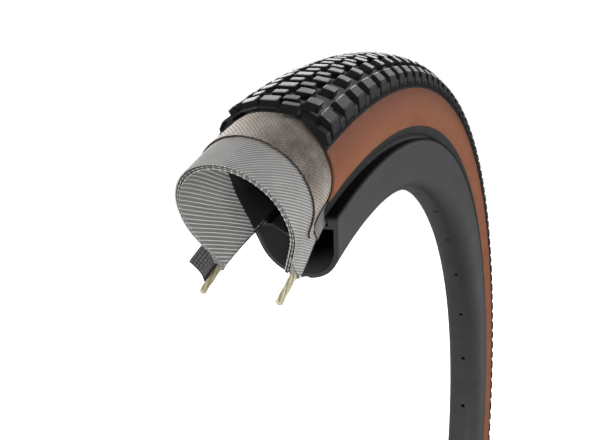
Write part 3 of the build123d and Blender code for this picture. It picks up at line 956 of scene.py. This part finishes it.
# crown angle, height over the breaker, round the outline from its inner foot
SHOULDER = ((47, 0.6), (48.5, 5.3), (58.3, 5.7), (67.5, 3.4), (72.0, 1.4), (70, 0.6), (58.5, 0.6))
SHOULDER_LENGTHS = (7.0, 8.6)
STEP = ((50, 0.6), (53, 2.9), (63, 3.9), (70, 2.3), (71.5, 1.3), (69.5, 0.6), (60, 0.6))
STEP_LENGTH, FIRST_STEP_LENGTH = 4.4, 3.6
SHOULDER_TURN, STEP_TURN = 0.95, 2.2
# How near the cut edge and the far end a block, shoulder block or step may stand
CUT_BLOCK_ANGLE, CUT_BLOCK_LENGTH = COVER_ANGLE - 0.3, 2.2
FIRST_RIB_ANGLE, FIRST_STEP_ANGLE = COVER_ANGLE - 0.5, COVER_ANGLE - 0.42
LAST_BLOCK_ANGLE, LAST_RIB_ANGLE = END_ANGLE + 0.35, END_ANGLE + 0.45


def crown_point(outset, angle):
    """Section place at an outset from the casing and an angle from the crown."""
    depth = CASING_RADIUS + outset
    return depth * np.sin(np.radians(angle)), CASING_CENTRE + depth * np.cos(np.radians(angle))


def base_rubber(angle):
    """Height of the rubber between the blocks at an angle from the crown."""
    return np.interp(np.abs(angle), *zip(*TREAD_BASE))


def cut_corners(corners, size):
    """Each corner swapped for two points, this far along the sides that meet there."""
    corners = np.asarray(corners, dtype=float)
    result = []
    for k in range(len(corners)):
        for other in (corners[k - 1], corners[(k + 1) % len(corners)]):
            step = other - corners[k]
            far = np.linalg.norm(step)
            result.append(corners[k] + step * min(size / far, 0.4))
    return np.array(result)


def block_ring(width, length, lean, grow):
    """Outline of a block of this top size, grown by a distance, with its corners cut."""
    half_length, half_width = length / 2 + grow, width / 2 + grow
    sweep = lean / 2 * half_width / (width / 2)
    corners = (
        (-half_length - sweep, -half_width),
        (half_length - sweep, -half_width),
        (half_length + sweep, half_width),
        (-half_length + sweep, half_width),
    )
    return cut_corners(corners, BLOCK_CORNER)


def wheel_directions(angle):
    """World directions away from the axle and round the wheel, at an angle round it."""
    t = math.radians(angle)
    return np.array((math.cos(t), 0, math.sin(t))), np.array((-math.sin(t), 0, math.cos(t)))


def add_block(build, angle, side, crown, width, length, lean, top, foot_slot):
    """Drafted block with a flared foot and a chamfered top, with a painted highlight on the
    chamfer.
    """
    outward, forward = wheel_directions(angle)
    c = math.radians(crown)
    face = outward * math.cos(c) + side * AXLE * math.sin(c)
    aside = np.cross(face, forward)
    origin = outward * CASING_CENTRE + face * (CASING_RADIUS + BREAKER_OUTER)
    base = float(base_rubber(crown))
    # Height and growth of the outline: buried foot, flare, drafted wall, chamfer, top
    levels = (
        (base - 0.25, (top - base) * BLOCK_DRAFT + 0.75),
        (base + 0.08, (top - base) * BLOCK_DRAFT + 0.28),
        (base + 0.5, (top - base - 0.5) * BLOCK_DRAFT),
        (top - CHAMFER, CHAMFER * BLOCK_DRAFT),
        (top, -CHAMFER * 0.9),
    )
    rings = []
    for height, grow in levels:
        ring = block_ring(width, length, side * lean, grow)
        ring = np.concatenate([ring, ring[:1]])
        rings.append(origin + face * height + ring[:, :1] * forward + ring[:, 1:] * aside)
    rings = np.array(rings)
    # Painted highlight: the chamfer ring takes the light edge rubber
    slots = np.array([foot_slot, WALL, WALL, EDGE_HIGHLIGHT])[:, None]
    build.world_grid(rings * MM, rings[..., :2], slots)
    build.polygon(rings[-1, :-1] * MM, TOP)


def add_rib(build, angle, side, outline, length, highlight_slot, top_slot):
    """Block whose outline in the section is drawn out round the wheel, with bevelled ends."""
    outward, forward = wheel_directions(angle)
    corners = np.array([crown_point(BREAKER_OUTER + height, crown) for crown, height in outline])
    full = cut_corners(corners, RIB_CORNER)
    middle = corners.mean(axis=0)
    inset = full + (middle - full) * (RIB_INSET / np.linalg.norm(middle - full, axis=1))[:, None]
    shift = length / 2 - RIB_END
    rings = []
    for ring, along in ((inset, -length / 2), (full, -shift), (full, shift), (inset, length / 2)):
        ring = np.concatenate([ring, ring[:1]])
        across = side * ring[:, :1] * AXLE
        rings.append(ring[:, 1:] * outward + across + forward * along)
    rings = np.array(rings)
    # Column 2k is the chamfer at corner k of the outline, column 2k + 1 the face after it
    slots = np.full((3, len(full)), WALL)
    # Painted highlight: highlight_slot puts light lines along the chamfer at the top's inner
    # corner and on the top's bevelled ends
    slots[:, 2] = highlight_slot
    slots[:, 3] = highlight_slot, top_slot, highlight_slot
    slots[:, 4:6] = RIB_SIDE
    build.world_grid(rings * MM, rings[..., :2], slots)
    for end in (0, -1):
        build.polygon(rings[end, :-1] * MM, WALL)


tread = Builder()
crown = np.linspace(-TREAD_EDGE, TREAD_EDGE, TREAD_COLUMNS + 1)
rings = COVER_ANGLE - PITCH_ANGLE / 2 * np.arange(2 * PITCH_COUNT + 1)
rings = np.insert(rings, 1, COVER_ANGLE - CUT_BEVEL)[:, None]
edge_share = np.ones_like(rings)
edge_share[0] = 0.3
# The cut edge lies a little back on both sides of the crown
dip = DIP_DEPTH * np.exp(-((np.abs(crown) - DIP_AT) / DIP_WIDTH) ** 2)
rings = rings - dip[None] * (np.arange(len(rings)) < 2)[:, None]
cover = (COVER_INNER - BREAKER_OUTER) + (base_rubber(crown)[None] - 0.05) * edge_share
outer = BREAKER_OUTER + cover
# Painted shade: the first two rows by the cut edge and the part past FLOOR_EDGE take the shaded
# wall rubber; the rest takes the lit floor rubber
shade = np.where(np.abs(crown[1:] + crown[:-1]) / 2 > FLOOR_EDGE, SHELL_WALL, SHELL_FLOOR)
shade = np.where(np.arange(len(rings) - 1)[:, None] < 2, SHELL_WALL, shade[None, :])
tread.grid(rings, *crown_point(outer, crown[None]), shade)
tread.grid(rings, *crown_point(COVER_INNER, crown[None]), SHELL_CUT)
for end in (0, -1):
    outsets = np.stack([COVER_INNER + 0 * crown, outer[end]])
    tread.grid(rings[end], *crown_point(outsets, crown[None]), SHELL_CUT)
for edge in (0, -1):
    outsets = np.stack([COVER_INNER + 0 * outer[:, edge], outer[:, edge]], axis=1)
    tread.grid(rings[:, edge, None], *crown_point(outsets, crown[edge]), SHELL_WALL)
tread = tread.make("tread_shell", [tread_wall_shaded, tread_floor_lit, cut_rubber])

# Pitch -1 holds only a low step beside the cut edge. A block that the cut edge
# crosses is shortened, and one that the far end would cross is left out.
blocks = Builder()
for pitch in range(-1, PITCH_COUNT):
    lead = COVER_ANGLE - PITCH_LEAD - pitch * PITCH_ANGLE
    foot = WALL if pitch == 0 else FLOOR
    for side in (-1, 1):
        for crown_at, turn, width, length, lean, top in BLOCKS if pitch >= 0 else ():
            angle = lead + turn
            if angle > COVER_ANGLE - 0.2:
                angle, length = CUT_BLOCK_ANGLE, CUT_BLOCK_LENGTH
            if angle >= LAST_BLOCK_ANGLE:
                add_block(blocks, angle, side, crown_at, width, length, lean, top, foot)
        rib_at = lead - SHOULDER_TURN
        if LAST_RIB_ANGLE < rib_at < FIRST_RIB_ANGLE:
            add_rib(blocks, rib_at, side, SHOULDER, SHOULDER_LENGTHS[pitch % 2], EDGE_HIGHLIGHT, RIB_TOP)
        step_at = min(lead - STEP_TURN, FIRST_STEP_ANGLE)
        if LAST_RIB_ANGLE < step_at:
            length = FIRST_STEP_LENGTH if pitch < 0 else STEP_LENGTH
            add_rib(blocks, step_at, side, STEP, length, WALL, RIB_SIDE)
blocks = blocks.make(
    "tread_blocks",
    [tread_wall_shaded, tread_top_lit, tread_floor_lit, tread_edge_highlight, shoulder_shaded, shoulder_top_lit],
    sharp=20,
)
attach(tread, "root")
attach(blocks, "root")
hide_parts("tread")
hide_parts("tread")

# Dark inner part of the sidewalls' cut face at the stepped end
DARK_SHARE = 0.4
edge = Builder()
edge_outsets = np.array([COVER_INNER, COVER_INNER + DARK_SHARE * SIDEWALL_THICKNESS])
for side in (-1, 1):
    angles = np.linspace(TREAD_EDGE - 0.5, 90 - LEG_NORMAL, 34)
    across, radius = crown_point(edge_outsets[:, None], angles[None, :])
    leg = LEG_TOP + edge_outsets[:, None, None] * LEG_NORMAL_VECTOR
    leg = leg + np.array([0, SIDEWALL_SKIRT])[None, :, None] * LEG_DOWN
    across = np.concatenate([across, leg[..., 0]], axis=1)
    radius = np.concatenate([radius, leg[..., 1]], axis=1)
    edge.grid(COVER_ANGLE + 0.03, side * across, radius, 0)
edge = edge.make("sidewall_cut_edge", [cut_rubber])
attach(edge, "root")

# ---- stage, lights and camera
FLOOR_Z = cad_bounds[0][2] - 0.0005
FLOOR_HALF = 30


def camera_choice(tree, output, lit, seen):
    """Shows the camera one shader and lights the part with the other."""
    by_camera = node(tree, "LightPath").outputs["Is Camera Ray"]
    choose = node(tree, "MixShader", {"Fac": by_camera, 1: lit.outputs[0], 2: seen.outputs[0]})
    tree.links.new(choose.outputs[0], tree.nodes[output].inputs["Surface"])


stage_mat, tree, bsdf = new_material("stage_white")
set_inputs(tree, bsdf, {
    "Base Color": (0.14, 0.14, 0.14, 1), "Roughness": 0.9, "Specular IOR Level": 0,
})
glow = node(tree, "Emission", {"Color": (1, 1, 1, 1), "Strength": 0.75})
paper = node(tree, "BsdfDiffuse", {"Color": (0.62, 0.62, 0.62, 1)})
bright = node(tree, "AddShader", {0: glow.outputs[0], 1: paper.outputs[0]})
camera_choice(tree, "Material Output", bsdf, bright)
floor_mesh = bpy.data.meshes.new("floor")
floor_corners = [(x * FLOOR_HALF, y * FLOOR_HALF, FLOOR_Z)
                 for x, y in ((-1, -1), (1, -1), (1, 1), (-1, 1))]
floor_mesh.from_pydata(floor_corners, [], [(0, 1, 2, 3)])
floor_mesh.materials.append(stage_mat)
floor = new_object("floor", floor_mesh)

world = bpy.data.worlds.new("studio")
bpy.context.scene.world = world
world.use_nodes = True
tree = world.node_tree
soft = tree.nodes["Background"]
up_axis = axes(tree, node(tree, "TexCoord").outputs["Generated"])["Z"]
sky_stops = [(high, (grey,) * 3) for high, grey in ((0.0, 0.13), (0.35, 0.38), (0.95, 1))]
set_inputs(tree, soft, {"Color": ramp(tree, up_axis, sky_stops), "Strength": 0.62})
white = node(tree, "Background", {"Color": (1, 1, 1, 1)})
camera_choice(tree, "World Output", soft, white)


def area_light(name, place, target, size, power):
    """Light aimed at a target and hidden from the camera, in metres and watts."""
    data = bpy.data.lights.new(name, "AREA")
    data.shape = "RECTANGLE"
    data.size, data.size_y = size
    data.energy = power
    obj = new_object(name, data)
    obj.location = place
    obj.rotation_euler = (Vector(target) - Vector(place)).to_track_quat("-Z", "Y").to_euler()
    obj.visible_camera = False


area_light("overhead", (-0.9, 0.9, 0.95), (-0.1, 0, 0.3), (0.8, 0.8), 17)
area_light("far_side", (1.5, 0.75, 1.35), (0, 0, 0.3), (1.9, 1.5), 42)
area_light("front", (0.55, -1.0, 0.62), (0.2, 0, 0.28), (0.6, 0.6), 11)
area_light("cut_end_fill", (-0.5, -0.42, 0.08), (-0.15, 0.01, 0.29), (0.3, 0.3), 2.2)

# Camera: direction in degrees, place in metres
AZIMUTH, ELEVATION, ROLL = math.radians(-60.1), math.radians(7.9), math.radians(-1.5)
CAMERA_PLACE = (-0.3101, -0.0964, 0.3099)
look = Vector((
    -math.sin(AZIMUTH) * math.cos(ELEVATION),
    math.cos(AZIMUTH) * math.cos(ELEVATION),
    -math.sin(ELEVATION),
))
right = Vector((math.cos(AZIMUTH), math.sin(AZIMUTH), 0))
up = right.cross(look)
tilt_right = math.cos(ROLL) * right + math.sin(ROLL) * up
tilt_up = math.cos(ROLL) * up - math.sin(ROLL) * right
camera_data = bpy.data.cameras.new("camera")
camera_data.sensor_width = 36
camera_data.lens = 29.86
camera_data.shift_x = 0.0302
camera_data.shift_y = 0.0012
camera_data.clip_start = 0.01
camera = new_object("camera", camera_data)
turned = Matrix((tilt_right, tilt_up, -look)).transposed().to_4x4()
camera.matrix_world = Matrix.Translation(CAMERA_PLACE) @ turned
bpy.context.scene.camera = camera
bpy.context.scene.view_settings.view_transform = "Standard"
